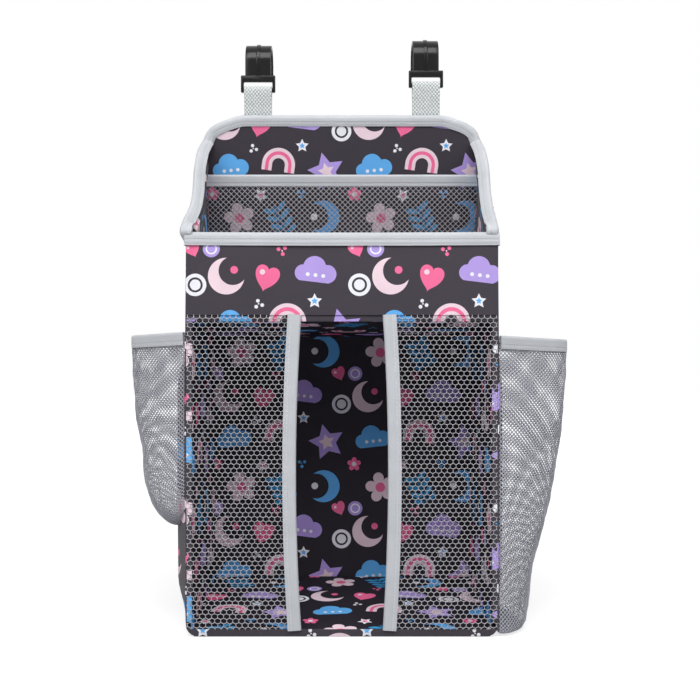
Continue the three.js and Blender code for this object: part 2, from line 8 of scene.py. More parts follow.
import bpy
import numpy as np
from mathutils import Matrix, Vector


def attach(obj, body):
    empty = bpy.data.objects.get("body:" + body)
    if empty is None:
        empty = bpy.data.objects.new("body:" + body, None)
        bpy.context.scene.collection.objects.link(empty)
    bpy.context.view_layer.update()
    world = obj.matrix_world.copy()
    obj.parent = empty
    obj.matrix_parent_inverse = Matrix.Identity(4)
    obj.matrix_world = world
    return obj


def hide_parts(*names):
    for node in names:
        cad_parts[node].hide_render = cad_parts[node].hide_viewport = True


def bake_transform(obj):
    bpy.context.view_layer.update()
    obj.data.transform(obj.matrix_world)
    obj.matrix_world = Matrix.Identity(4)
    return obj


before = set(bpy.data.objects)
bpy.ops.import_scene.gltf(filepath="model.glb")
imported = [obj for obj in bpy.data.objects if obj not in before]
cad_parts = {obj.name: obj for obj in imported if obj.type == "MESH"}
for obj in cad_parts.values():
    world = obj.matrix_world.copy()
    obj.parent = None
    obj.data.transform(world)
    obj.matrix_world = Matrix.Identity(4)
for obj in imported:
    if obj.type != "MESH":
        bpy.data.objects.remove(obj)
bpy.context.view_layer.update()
print("frame loaded")

# Sizes shared by several pieces
body = {
    "halfWidth": 0.126, "halfDepth": 0.0775, "height": 0.259, "cornerRound": 0.01,
    "panelLength": 0.192, "cornerRadius": 0.04, "lean": radians(12), "wall": 0.005,
    "trayTop": 0.3255, "shelfDrop": 0.009, "floorRise": 0.012,
}
panelTop = body["height"] + body["panelLength"]
panelDown = Vector((0, sin(body["lean"]), -cos(body["lean"])))
thickness = {"cloth": 0.0009, "trim": 0.0005, "tape": 0.0007, "yarn": 0.0007}
sides = (("left", -1), ("right", 1))


# Scene set-up

camera = {"place": (0, -0.8975, 0.221), "lens": 36 * 1020 / 700, "shift": (8 / 700, 12 / 700)}


def inMode(mode):
    bpy.ops.object.mode_set(mode=mode)


def clearSelection():
    if bpy.context.object and bpy.context.object.mode != "OBJECT":
        inMode("OBJECT")
    bpy.ops.object.select_all(action="DESELECT")


def pick(piece):
    clearSelection()
    piece.select_set(True)
    bpy.context.view_layer.objects.active = piece


def nameIt(piece, name):
    piece.name = name
    piece.data.name = name
    return piece


def modify(piece, kind, **settings):
    pick(piece)
    modifier = piece.modifiers.new(kind.lower(), kind)
    for key, value in settings.items():
        setattr(modifier, key, value)
    bpy.ops.object.modifier_apply(modifier=modifier.name)


clearSelection()
bpy.ops.object.camera_add(location=camera["place"], rotation=(pi / 2, 0, 0))
eye = nameIt(bpy.context.object, "camera")
eye.data.sensor_width = 36
eye.data.lens = camera["lens"]
eye.data.shift_x, eye.data.shift_y = camera["shift"]
eye.data.clip_start = 0.02
bpy.context.scene.camera = eye
print("camera placed")


# Material building blocks

def paint(code):
    # an sRGB hex colour as the linear one that sockets take
    parts = [int(code[i : i + 2], 16) / 255 for i in (0, 2, 4)]
    return [c / 12.92 if c <= 0.04045 else ((c + 0.055) / 1.055) ** 2.4 for c in parts] + [1.0]


class Wire:
    # a node's output, so that shader maths reads as a formula
    def __init__(self, socket):
        self.socket = socket
        self.tree = socket.id_data

    def __add__(self, other):
        return calc("ADD", self, other)

    def __sub__(self, other):
        return calc("SUBTRACT", self, other)

    def __mul__(self, other):
        return calc("MULTIPLY", self, other)

    def __truediv__(self, other):
        return calc("DIVIDE", self, other)

    def __lt__(self, other):
        return calc("LESS_THAN", self, other)

    def __gt__(self, other):
        return calc("GREATER_THAN", self, other)

    def __abs__(self):
        return calc("ABSOLUTE", self)

    def split(self):
        node = self.tree.nodes.new("ShaderNodeSeparateXYZ")
        feed(node.inputs[0], self)
        return [Wire(part) for part in node.outputs]


def feed(socket, value):
    if isinstance(value, Wire):
        socket.id_data.links.new(value.socket, socket)
    else:
        socket.default_value = value


def addNode(tree, kind, *values, operation=None, out=0, **inputs):
    node = tree.nodes.new(f"ShaderNode{kind}")
    if operation:
        node.operation = operation
    for socket, value in zip(node.inputs, values):
        feed(socket, value)
    for key, value in inputs.items():
        feed(node.inputs[key], value)
    return Wire(node.outputs[out])


def calc(operation, *values, kind="Math", out=0):
    tree = next(value.tree for value in values if isinstance(value, Wire))
    return addNode(tree, kind, *values, operation=operation, out=out)


def move(operation, *values):
    out = "Value" if operation in ("LENGTH", "DISTANCE") else "Vector"
    return calc(operation, *values, kind="VectorMath", out=out)


def mixColour(share, under, over, blend="MIX"):
    tree = next(value.tree for value in (share, under, over) if isinstance(value, Wire))
    node = tree.nodes.new("ShaderNodeMix")
    node.data_type = "RGBA"
    node.blend_type = blend
    feed(node.inputs["Factor"], share)
    feed(node.inputs[6], under)
    feed(node.inputs[7], over)
    return Wire(node.outputs[2])


def noise(place, scale, detail):
    return addNode(place.tree, "TexNoise", Vector=place, Scale=scale, Detail=detail)


def makeGroup(name, draw, outputs, **inputs):
    # the draw function takes a wire for each input and gives one for each output
    tree = bpy.data.node_groups.new(name, "ShaderNodeTree")
    kinds = {"Vector": "Vector", "Ground": "Color", "Color": "Color"}
    for way, labels in (("INPUT", ("Vector", *inputs)), ("OUTPUT", outputs)):
        for label in labels:
            kind = f"NodeSocket{kinds.get(label, 'Float')}"
            socket = tree.interface.new_socket(name=label, in_out=way, socket_type=kind)
            if label in inputs:
                socket.default_value = inputs[label]
    start = tree.nodes.new("NodeGroupInput").outputs
    end = tree.nodes.new("NodeGroupOutput").inputs
    results = draw(*[Wire(start[label]) for label in ("Vector", *inputs)])
    for label, result in zip(outputs, results):
        feed(end[label], result)
    return tree


def useGroup(group, **inputs):
    tree = inputs["Vector"].tree
    node = tree.nodes.new("ShaderNodeGroup")
    node.node_tree = group
    for key, value in inputs.items():
        feed(node.inputs[key], value)
    return {socket.name: Wire(socket) for socket in node.outputs}


# Motif shapes, each in its own coordinates with a reach of about 1: its mask and its detail

def within(place, centre, radius):
    return move("DISTANCE", place, (*centre, 0)) < radius


def either(*masks):
    total = masks[0]
    for mask in masks[1:]:
        total = calc("MAXIMUM", total, mask)
    return total


def drawStar(place):
    x, y, _ = place.split()
    turn = calc("WRAP", calc("ARCTAN2", x, y), pi / 5, -pi / 5)
    reach = move("LENGTH", place)
    edge = reach * calc("COSINE", turn) * 0.4426 + reach * abs(calc("SINE", turn)) * 0.8967
    return edge < 0.4426, edge < 0.2


def drawFlower(place):
    x, y, _ = place.split()
    turn = calc("ARCTAN2", x, y) * 2.5
    lobe = calc("POWER", abs(calc("COSINE", turn)), 0.6)
    reach = move("LENGTH", place)
    return reach < lobe * 0.5 + 0.45, reach < 0.3


def drawHeart(place):
    x, y, _ = place.split()
    level = y * 1.1 + (calc("SQRT", abs(x)) * -0.65 + 0.1)
    return x * x + level * level < 0.62, within(place, (-0.36, 0.42), 0.17)


def drawMoon(place):
    crescent = within(place, (0, 0), 0.95) - within(place, (0.42, 0.14), 0.74)
    return crescent, within(place, (0.5, 0.16), 0.2)


def drawCloud(place):
    x, y, _ = place.split()
    puffs = [((-0.55, -0.08), 0.36), ((-0.08, 0.2), 0.5), ((0.5, -0.02), 0.4)]
    low = (abs(x) < 0.62) * (y < 0.1)
    whole = either(*[within(place, at, size) for at, size in puffs], low)
    spot = addNode(place.tree, "CombineXYZ", X=calc("WRAP", x, 0.17, -0.17), Y=y + 0.12)
    return whole * (y > -0.42), (move("LENGTH", spot) < 0.085) * (abs(x) < 0.5)


def drawRainbow(place):
    x, y, _ = place.split()
    side, legs, upper = abs(x), y > 0, y > -0.4
    bow = calc("MAXIMUM", side, move("LENGTH", place))
    reach = legs * bow + calc("SUBTRACT", 1, legs) * side
    band = (reach > 0.38) * upper
    return band * (reach < 0.98), calc("COMPARE", reach, 0.68, 0.1) * upper


def drawRing(place):
    reach = move("LENGTH", place)
    return reach < 0.95, calc("COMPARE", reach, 0.55, 0.09)


def drawDots(place):
    spots = [(-0.5, -0.4), (0.5, -0.4), (0, 0.45)]
    return either(*[within(place, at, 0.3) for at in spots]), within(place, (0, -0.05), 0.12)


def drawSprig(place):
    x, y, _ = place.split()
    tall = abs(y) < 0.92
    stem = (abs(x) < 0.07) * tall
    level = calc("WRAP", y - abs(x) * 0.5, 0.26, -0.26) / 0.19
    aside = (abs(x) - 0.4) / 0.34
    leaves = (aside * aside + level * level < 1) * tall
    return either(stem, leaves), stem


motifs = {
    "star": drawStar, "flower": drawFlower, "heart": drawHeart, "moon": drawMoon, "cloud": drawCloud,
    "rainbow": drawRainbow, "ring": drawRing, "dots": drawDots, "sprig": drawSprig,
}
for name, draw in motifs.items():
    motifs[name] = makeGroup(f"motif{name.capitalize()}", draw, ("Mask", "Detail"))


# The print: motifs on a charcoal ground, repeated like a printed cloth

fabricPrint = {
    "tile": (0.132, 0.128),
    "ground": "38323b",
    # painted shade: the cloth inside the bay takes a darker ground, standing in for the shade under the
    # shelf; it also has no sheen
    "bayGroundPaintedShade": "25212a",
    "shelf": 0.255,
    # shape, place on the tile, reach, turn in degrees, colour, detail colour
    "motifs": [
        ("cloud", (0.022, 0.02), 0.0185, 6, "64b4f5", "f4f4fb"),
        ("rainbow", (0.066, 0.023), 0.0155, -8, "f5dce6", "f870a0"),
        ("star", (0.11, 0.017), 0.0175, 14, "b8a0e8", "f5dce6"),
        ("moon", (0.017, 0.06), 0.0155, 20, "f5dce6", "f870a0"),
        ("heart", (0.049, 0.057), 0.0125, -16, "f870a0", "f5dce6"),
        ("cloud", (0.089, 0.063), 0.0185, -7, "b8a0e8", "f4f4fb"),
        ("ring", (0.124, 0.053), 0.0095, 0, "f4f4fb", "38323b"),
        ("flower", (0.029, 0.102), 0.015, 12, "f5dce6", "f870a0"),
        ("sprig", (0.067, 0.101), 0.015, 24, "3f9fd8", "2b7fb4"),
        ("moon", (0.107, 0.103), 0.016, 160, "64b4f5", "f4f4fb"),
        ("dots", (0.043, 0.038), 0.005, 15, "f4f4fb", "f4f4fb"),
        ("star", (0.088, 0.04), 0.0062, 0, "f4f4fb", "64b4f5"),
        ("dots", (0.062, 0.08), 0.0052, 190, "f870a0", "f5dce6"),
        ("ring", (0.005, 0.082), 0.0072, 0, "b8a0e8", "f4f4fb"),
        ("heart", (0.122, 0.081), 0.008, 22, "f870a0", "f5dce6"),
        ("star", (0.049, 0.123), 0.0066, 30, "f4f4fb", "f870a0"),
        ("dots", (0.086, 0.125), 0.005, 60, "64b4f5", "64b4f5"),
        ("flower", (0.004, 0.124), 0.007, 0, "f870a0", "f4f4fb"),
    ],
}


def drawPrint(place, colour):
    width, height = fabricPrint["tile"]
    half = (width / 2, height / 2, 1)
    for shape, at, reach, turn, main, detail in fabricPrint["motifs"]:
        away = move("SUBTRACT", place, (*at, 0))
        turned = place.tree.nodes.new("ShaderNodeMapping")
        turned.vector_type = "TEXTURE"
        feed(turned.inputs["Vector"], move("WRAP", away, half, tuple(-value for value in half)))
        feed(turned.inputs["Rotation"], (0, 0, radians(turn)))
        feed(turned.inputs["Scale"], (reach, reach, reach))
        drawn = useGroup(motifs[shape], Vector=Wire(turned.outputs[0]))
        colour = mixColour(drawn["Mask"], colour, paint(main))
        colour = mixColour(drawn["Detail"], colour, paint(detail))
    return [colour]


def drawWeave(place, pitch):
    # threads that pass over and under, with uneven yarn
    x, y, _ = place.split()
    turns = calc("DIVIDE", pi, pitch)
    crossed = abs(calc("SINE", x * turns) - calc("SINE", y * turns))
    return noise(place, 900.0, 2.0) * 0.5 + crossed, noise(place, 28.0, 3.0) * 0.24 + 0.88


def drawStitches(place, line, pitch, thread):
    # a row of stitches that runs along U at one value of V
    along, across, _ = place.split()
    aside = abs(across - line)
    half = pitch * 0.5
    step = calc("WRAP", along, half, half * -1)
    mask = (aside < thread) * (abs(step) < half * 0.78)
    dip = calc("MINIMUM", aside / (thread * 3), 1)
    return mask, mask * 0.8 + dip


printGroup = makeGroup("nurseryPrint", drawPrint, ("Color",), Ground=paint(fabricPrint["ground"]))
weaveGroup = makeGroup("plainWeave", drawWeave, ("Height", "Shade"), Pitch=0.0006)
stitchSizes = {"Line": 0.0085, "Pitch": 0.0032, "Thread": 0.0005}
stitchGroup = makeGroup("stitchRow", drawStitches, ("Mask", "Height"), **stitchSizes)


def newMaterial(name, roughness, **sockets):
    material = bpy.data.materials.new(name)
    material.use_nodes = True
    tree = material.node_tree
    shader = tree.nodes["Principled BSDF"].inputs
    for key, value in {"Roughness": roughness, **sockets}.items():
        feed(shader[key.replace("_", " ")], value)
    return material, tree, shader


def coordinates(tree, kind="Object"):
    return Wire(tree.nodes.new("ShaderNodeTexCoord").outputs[kind])


def addBump(shader, height, distance, strength):
    bump = addNode(height.tree, "Bump", Strength=strength, Distance=distance, Height=height)
    feed(shader["Normal"], bump)


def makePrintedFabric(name, low, high, sheen, gloss):
    material, tree, shader = newMaterial(name, 0.86, Sheen_Weight=sheen, Specular_IOR_Level=gloss)
    uv = coordinates(tree, "UV")
    # the ground below the shelf and above it; a darker ground below is painted shade inside the bay
    upper = uv.split()[1] > fabricPrint["shelf"]
    ground = mixColour(upper, paint(fabricPrint[low]), paint(fabricPrint[high]))
    picture = useGroup(printGroup, Vector=uv, Ground=ground)["Color"]
    weave = useGroup(weaveGroup, Vector=uv, Pitch=0.0006)
    feed(shader["Base Color"], mixColour(1.0, picture, weave["Shade"], "MULTIPLY"))
    addBump(shader, weave["Height"], 0.00012, 0.6)
    return material


tapeFinish = {"colour": "c2c5ca", "thread": "ced1d5", "rib": 0.0009, "row": 0.0013, "line": 0.0083}


def makeTape():
    material, tree, shader = newMaterial("greyTape", 0.78, Sheen_Weight=0.2)
    uv = coordinates(tree, "UV")
    along, across, _ = uv.split()
    ribs = calc("SINE", along * (2 * pi / tapeFinish["rib"]))
    rows = calc("SINE", across * (2 * pi / tapeFinish["row"]))
    sewn = useGroup(stitchGroup, Vector=uv, Line=tapeFinish["line"])
    weave = useGroup(weaveGroup, Vector=uv, Pitch=0.0005)
    cloth = mixColour(1.0, paint(tapeFinish["colour"]), weave["Shade"], "MULTIPLY")
    feed(shader["Base Color"], mixColour(sewn["Mask"], cloth, paint(tapeFinish["thread"])))
    addBump(shader, ribs * 0.22 + rows * 0.1 + sewn["Height"] * 1.6, 0.00025, 0.7)
    return material


def makeNetYarn(name, colour, sheen):
    material, tree, shader = newMaterial(name, 0.62, Sheen_Weight=sheen)
    grain = noise(coordinates(tree), 1400.0, 3.0)
    feed(shader["Base Color"], mixColour(1.0, paint(colour), grain * 0.3 + 0.84, "MULTIPLY"))
    addBump(shader, grain, 0.0002, 0.8)
    return material


webbingFinish = {"light": "e4e8e8", "dark": "8c9392", "rib": 0.0036, "cord": 0.0031}


def makeWebbing():
    material, tree, shader = newMaterial("greyWebbing", 0.8, Sheen_Weight=0.2)
    uv = coordinates(tree, "UV")
    along, across, _ = uv.split()
    cords = calc("SINE", across * (2 * pi / webbingFinish["cord"]))
    shift = calc("SIGN", cords) * (pi / 2)
    beat = along * (2 * pi / webbingFinish["rib"]) + shift
    high = abs(cords) * calc("SINE", beat) * 0.5 + 0.5
    # painted shade: the colour darkens where the threads dip, following the bump's heights
    share = noise(uv, 1500.0, 2.0) * 0.2 + high * 0.9
    colour = mixColour(share, paint(webbingFinish["dark"]), paint(webbingFinish["light"]))
    feed(shader["Base Color"], colour)
    addBump(shader, high, 0.0005, 0.9)
    return material


def makeBlackPlastic():
    black = paint("070709")
    material, tree, shader = newMaterial("blackPlastic", 0.2, Base_Color=black, Specular_IOR_Level=0.24)
    place = coordinates(tree)
    feed(shader["Roughness"], noise(place, 160.0, 4.0) * 0.05 + 0.18)
    addBump(shader, noise(place, 900.0, 2.0), 0.00002, 0.3)
    return material


def makeBoard():
    material, tree, shader = newMaterial("stiffenerBoard", 0.9)
    shade = noise(coordinates(tree), 420.0, 4.0) * 0.2 + 0.86
    feed(shader["Base Color"], mixColour(1.0, paint("d9d6cf"), shade, "MULTIPLY"))
    return material


materials = {
    "print": makePrintedFabric("printedFabric", "ground", "ground", 0.15, 0.5),
    # painted shade: the bay's linings use the darker ground
    "bayLining": makePrintedFabric("bayLining", "bayGroundPaintedShade", "bayGroundPaintedShade", 0.0, 0.2),
    # painted shade: the back lining's ground is darker below the shelf, inside the bay
    "backLiningShadedBelowShelf": makePrintedFabric("backLiningShadedBelowShelf", "bayGroundPaintedShade", "ground", 0.0, 0.45),
    "tape": makeTape(),
    "frontNet": makeNetYarn("greyNet", "b2b1b6", 0.2),
    "pouchNet": makeNetYarn("silverNet", "a3a4ae", 0.4),
    "webbing": makeWebbing(),
    "plastic": makeBlackPlastic(),
    "board": makeBoard(),
}
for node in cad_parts.values():
    finish = "plastic" if node.name.startswith("hook") else "board"
    node.data.materials.clear()
    node.data.materials.append(materials[finish])
print("materials made")


# Sheets: a grid whose points are laid one by one, with UVs in metres of cloth

def addSheet(name, across, along, lay):
    clearSelection()
    bpy.ops.mesh.primitive_grid_add(x_subdivisions=across, y_subdivisions=along, size=1)
    sheet = nameIt(bpy.context.object, name)
    shares = [(corner.co.x + 0.5, corner.co.y + 0.5) for corner in sheet.data.vertices]
    laid = [lay(min(max(u, 0), 1), min(max(v, 0), 1)) for u, v in shares]
    for corner, (place, _) in zip(sheet.data.vertices, laid):
        corner.co = place
    uv = sheet.data.uv_layers.active or sheet.data.uv_layers.new()
    for loop in sheet.data.loops:
        uv.data[loop.index].uv = laid[loop.vertex_index][1]
    return sheet


def finishPiece(piece, material, replaced=(), thick=0, rides="caddy", smooth=40):
    if thick:
        modify(piece, "SOLIDIFY", thickness=thick, offset=0)
    pick(piece)
    inMode("EDIT")
    bpy.ops.mesh.select_all(action="SELECT")
    bpy.ops.mesh.normals_make_consistent(inside=False)
    inMode("OBJECT")
    bpy.ops.object.shade_smooth_by_angle(angle=radians(smooth))
    piece.data.materials.clear()
    piece.data.materials.append(materials[material])
    if rides:
        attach(piece, rides)
    if replaced:
        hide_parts(*replaced)


def clothArea(piece):
    # half of the surface of a sheet that has its thickness
    return sum(face.area for face in piece.data.polygons) / 2


def declareCloth(piece, width, length, held="stretched"):
    area = min(clothArea(piece), width * length)


def addCloth(name, grid, lay, material, slot, node, flat):
    cloth = addSheet(name, *grid, lay)
    finishPiece(cloth, material, [node], thickness["cloth"])
    if flat:
        declareCloth(cloth, *flat)


# material and slot of each kind of cloth
outer, inner = ("print", "printed_fabric"), ("print", "printed_lining")
# painted shade: the linings inside the bay take the darker ground
dark = ("bayLining", "printed_lining")


def addTrim(name, grid, lay, material="print", kind="trim", smooth=40):
    # a narrow cover that lies on other pieces and replaces none
    finishPiece(addSheet(name, *grid, lay), material, [], thickness[kind], smooth=smooth)


def ease(share):
    share = min(max(share, 0), 1)
    return share * share * (3 - 2 * share)


def arch(share):
    # a swell that is nothing at both ends
    return sin(pi * share)


def runningLengths(points):
    return list(accumulate(((b - a).length for a, b in zip(points, points[1:])), initial=0.0))


def pathThrough(points):
    # a path's length, and a function that gives its place at a share of it
    spans = runningLengths(points)
    table = np.array(points)

    def placeAt(share):
        return Vector([np.interp(share * spans[-1], spans, table[:, k]) for k in range(3)])

    return spans[-1], placeAt


def blendPoints(points, share):
    # a point of a smooth path through the given ones, by share of its length
    points = np.array(points, float)
    at = np.append(0, np.cumsum(np.linalg.norm(np.diff(points, axis=0), axis=1)))
    where = share * at[-1]
    last = len(points) - 1
    i = int(min(np.searchsorted(at, where, side="right") - 1, last - 1))
    t = (where - at[i]) / max(at[i + 1] - at[i], 1e-9)
    a, b = points[i], points[i + 1]
    slopeA = (b - points[max(i - 1, 0)]) / 2
    slopeB = (points[min(i + 2, last)] - a) / 2
    return a + (b - a) * ease(t) + t * (1 - t) ** 2 * slopeA - t * t * (1 - t) * slopeB


# Where the back panel lies: upright behind the box, leaning forward above the fold

def backPoint(x, along, inward):
    fold, lean, depth = body["height"], body["lean"], body["halfDepth"]
    over = along - fold
    bend = 0.012
    if over < bend:
        rise = max(over + bend, 0)
        tilt = lean * ease(rise / (2 * bend))
        place = Vector((x, depth - rise * rise / (4 * bend) * tan(lean), along))
    else:
        tilt = lean
        place = Vector((x, depth, fold)) - panelDown * over
    return place + Vector((0, -cos(tilt), -sin(tilt))) * inward


def backRows(bottom, top):
    # lengths up the panel from the base, close together round the top corners
    fold, bend = body["height"], 0.014
    corner = panelTop - body["cornerRadius"]
    radius = top - corner
    upright = np.linspace(bottom, fold - bend, 12)[:-1]
    turned = np.linspace(fold - bend, fold + bend, 9)[:-1]
    leaning = np.linspace(fold + bend, corner, 14)[:-1]
    arc = [corner + radius * sin(turn) for turn in np.linspace(0, pi / 2, 13)]
    return [*upright, *turned, *leaning, *arc]


def backHalfWidth(along, side, top):
    inset = panelTop - top
    radius = body["cornerRadius"] - inset
    corner = panelTop - body["cornerRadius"]
    rounded = body["halfWidth"] + 0.0011 - inset
    if along <= corner:
        return min(side, rounded)
    drop = min((along - corner) / radius, 1)
    return min(side, rounded - radius + radius * sqrt(max(1 - drop * drop, 0)))


def cornerCut(height, radius=0.008):
    # how far the sides draw in towards the base
    low = min(max(radius - height, 0), radius)
    return radius - sqrt(max(radius * radius - low * low, 0))


def addBackSheet(name, material, inward, side, bottom, node, puff):
    top = panelTop - 0.0012
    rows = backRows(bottom, top)

    def lay(u, v):
        along = float(np.interp(v * (len(rows) - 1), range(len(rows)), rows))
        x = (2 * u - 1) * (backHalfWidth(along, side, top) - cornerCut(along))
        swell = puff * arch(min(along / body["height"], 1)) * (1 - (x / side) ** 4)
        ripple = 0.25 * puff * sin(31 * x + 3 * sin(17 * along))
        return backPoint(x, along, inward + swell + ripple), (x + side, along)

    flat = (2 * side, top - bottom)
    addCloth(name, (44, len(rows) - 1), lay, material, "printed_fabric", node, flat)


addBackSheet("backOuterCloth", "print", 0.0005, 0.1258, 0.0008, "back_outer_fabric", -0.0006)
addBackSheet("backLiningCloth", "backLiningShadedBelowShelf", 0.0046, 0.1245, 0.0165, "back_lining", 0.0008)
print("back panel made")


# Sides: a printed sheet each way, shaped up to the wing's curved edge

wing = {
    # the free edge from front to back, as y and z
    "edge": [
        (-0.0775, 0.327), (-0.0635, 0.337), (-0.0415, 0.3486), (-0.0275, 0.359),
        (-0.0185, 0.369), (-0.0125, 0.379), (-0.0085, 0.389), (0.001, 0.4),
        (0.017, 0.412), (0.04, 0.4245),
    ],
    "drawIn": 0.0048,
    "drawDepth": 0.034,
    "bulge": {"left": 0.0105, "right": 0.0065},
    "flare": {"left": 0.1302, "right": 0.1258},
}
sideFoot = 0.0004
sideFront = -body["halfDepth"] + 0.0004
trayFront = -body["halfDepth"] + 0.0064
bay = {"front": -0.0753, "depth": 0.1475}


def alongPanel(z):
    # the length up the leaning panel that reaches a height
    return body["height"] + (z - body["height"]) / cos(body["lean"])


def rearLine(share, inward, low, high):
    return np.array(backPoint(0, low + (high - low) * share, inward).yz)


def fillBetween(low, high, front, rear, u, v):
    # a patch between four edges, as y and z
    corners = (1 - u) * (1 - v) * low(0) + u * (1 - v) * low(1) + (1 - u) * v * high(0) + u * v * high(1)
    return (1 - v) * low(u) + v * high(u) + (1 - u) * front(v) + u * rear(v) - corners


def sideBulge(y, z, side):
    ahead = (y + body["halfDepth"]) / 0.03
    along = sin(pi / 2 * ahead) if ahead < 1 else 1 - ease((ahead - 1) / 2.2)
    up = ease(z / 0.045) * (1 - ease((z - 0.195) / 0.058))
    return wing["bulge"][side] * max(along, 0) * up


def sideTop(share, front):
    y, z = blendPoints(wing["edge"], share)
    return np.array([max(y + 0.0023, front), z - 0.0015])


crest = [sideTop(share, sideFront) for share in np.linspace(0, 1, 60)]


def wingDraw(y, z, side, u):
    # the sheet leans in under the tape and out again to its edge
    below = min(hypot(y - p[0], z - p[1]) for p in crest)
    tuck = 0.0056
    lip = min(0.003, wing["flare"][side] - 0.1259 + (y + body["halfDepth"]) * 0.1)
    # held out by the tray's front board and the back panel
    drawn = wing["drawIn"] * ease((y + 0.0766) / 0.016) * (1 - ease((u - 0.76) / 0.14))
    if below < tuck:
        return lip - (lip + drawn) * below / tuck
    return -drawn * (1 - ease((below - tuck) / wing["drawDepth"]))


def meetPanel(out, z, half, share):
    # the side takes the panel's rounded outline where the two meet
    edge = backHalfWidth(alongPanel(z), half[0], 0.4498) - half[1]
    return out + (edge - out) * ease(share) * ease((z - 0.4) / 0.012)


def addSideCloth(side, sign):
    def low(u):
        return np.array([sideFront + (0.0762 - sideFront) * u, sideFoot])

    def high(u):
        return sideTop(u, sideFront)

    def front(v):
        return np.array([sideFront, sideFoot + (high(0)[1] - sideFoot) * v])

    def rear(v):
        return rearLine(v, 0.0014, sideFoot, alongPanel(high(1)[1]))

    def lay(u, v):
        y, z = fillBetween(low, high, front, rear, u, 1 - (1 - v) ** 1.35)
        out = 0.1255 + sideBulge(y, z, side) - cornerCut(z, body["cornerRound"])
        if z > body["height"] - 0.01:
            out += wingDraw(y, z, side, u)
        out = meetPanel(out, z, (0.1258, 0), (u - 0.72) / 0.28) + 0.0004 * sin(40 * y + 23 * z)
        return (sign * out, y, z), (0.3 * sign + sign * y, z)

    addCloth(f"sideOuterCloth_{side}", (36, 72), lay, *outer, f"side_outer_fabric_{side}", (0.1537, 0.405))


def addTrayLining(side, sign):
    def low(u):
        y = trayFront + (0.0718 - trayFront) * u
        return np.array([y, 0.2598 - body["shelfDrop"] * (y - bay["front"]) / bay["depth"]])

    def high(u):
        # kept inside the tape where the edge turns
        tuck = 0.0013 * ease(u / 0.1)
        return sideTop(0.1 + 0.9 * u, trayFront) + np.array([tuck, -tuck])

    def front(v):
        return low(0) + (high(0) - low(0)) * v

    def rear(v):
        return rearLine(v, 0.0056, low(1)[1], alongPanel(high(1)[1]))

    def lay(u, v):
        y, z = fillBetween(low, high, front, rear, u, 1 - (1 - v) ** 1.3)
        out = meetPanel(0.1242 + wingDraw(y, z, side, u), z, (0.1245, 0.0012), (u - 0.7) / 0.3)
        return (sign * out, y, z), (0.05 * sign - sign * y, z + 0.02)

    addCloth(f"traySideLining_{side}", (30, 34), lay, *inner, f"tray_side_lining_{side}", (0.1433, 0.165))


def addBayLining(side, sign):
    def lay(u, v):
        y = bay["front"] + bay["depth"] * u
        low = 0.0025 + body["floorRise"] * u
        z = low + (0.2537 - body["shelfDrop"] * u - low) * v
        out = 0.1216 - 0.0005 * sin(25 * y + 19 * z) - 0.0004 - 0.6 * cornerCut(z)
        return (sign * out, y, z), (0.1 - sign * y, z + 0.01)

    addCloth(f"sideLining_{side}", (20, 30), lay, *dark, f"side_lining_{side}", (0.1475, 0.2524))


seamPrint = {"left": -0.078, "right": -0.073}


def addFrontSeam(side, sign):
    # the side's two sheets turned in over the board's front edge
    def lay(u, v):
        z = 0.012 + 0.2415 * v
        place = (sign * (0.1208 + 0.0046 * u), -0.0764 - 0.0005 * arch(u), z)
        return place, (0.3 * sign + 0.0046 * u + seamPrint[side], z)

    addTrim(f"frontSeam_{side}", (6, 40), lay)


for side, sign in sides:
    addSideCloth(side, sign)
    addTrayLining(side, sign)
    addBayLining(side, sign)
    addFrontSeam(side, sign)
print("sides made")


# Base, shelf and tray front

flats = {
    # half width, where it starts and how far it reaches
    "base": (0.1168, -0.0762, 0.1524),
    "floor": (0.1207, bay["front"], bay["depth"]),
    "ceiling": (0.1243, -0.0765, 0.1485),
    "trayFloor": (0.1236, -0.0722, 0.144),
    "trayFront": (0.1256, 0.2588, 0.065),
    "trayLining": (0.1238, 0.259, 0.0648),
    "shelfSeam": (0.1252, 0.2537, 0.0053),
}


def spread(name, u, v):
    half, start, reach = flats[name]
    return (2 * u - 1) * half, start + reach * v


def frontHalfWidth(z):
    return body["halfWidth"] - 0.0004 - cornerCut(z, body["cornerRound"])


def layBase(u, v):
    x, y = spread("base", u, v)
    return (x, y, 0.0005), (x, y)


def layFloor(u, v):
    x, y = spread("floor", u, v)
    puff = 0.0009 * arch(u) * arch(v)
    z = 0.0046 + body["floorRise"] * v + puff + 0.0002 * sin(37 * x + 29 * y)
    return (x, y, z), (x + 0.03, y + 0.05)


def layHem(u, v):
    z = 0.0002 + 0.0058 * v
    x = (2 * u - 1) * frontHalfWidth(z)
    y = -body["halfDepth"] + 0.0005 + 0.0009 * (1 - v) ** 2
    return (x, y, z), (x + 0.2, z + 0.035)


def layCeiling(u, v):
    x, y = spread("ceiling", u, v)
    sag = 0.0008 * arch(u) * arch(v)
    return (x, y, 0.2545 - body["shelfDrop"] * v - sag), (x + 0.06, y + 0.02)


def layTrayFloor(u, v):
    x, y = spread("trayFloor", u, v)
    return (x, y, 0.2586 - body["shelfDrop"] * v), (x + 0.01, y + 0.09)


def layTrayFront(u, v):
    x, z = spread("trayFront", u, v)
    swell = 0.0014 * (1 - (2 * u - 1) ** 6) * arch(0.12 + 0.76 * v)
    ripple = 0.0002 * sin(60 * x)
    return (x, -body["halfDepth"] + 0.0006 - swell - ripple, z), (x + 0.11, z - 0.23)


def layShelfSeam(u, v):
    # the tray front's cloth turned down over the shelf's front edge
    x, z = spread("shelfSeam", u, v)
    return (x, -0.0763 - 0.0003 * arch(v), z), (x + 0.11, z - 0.23)


def layTrayLining(u, v):
    x, z = spread("trayLining", u, v)
    return (x, -0.073, z), (x + 0.02, z)


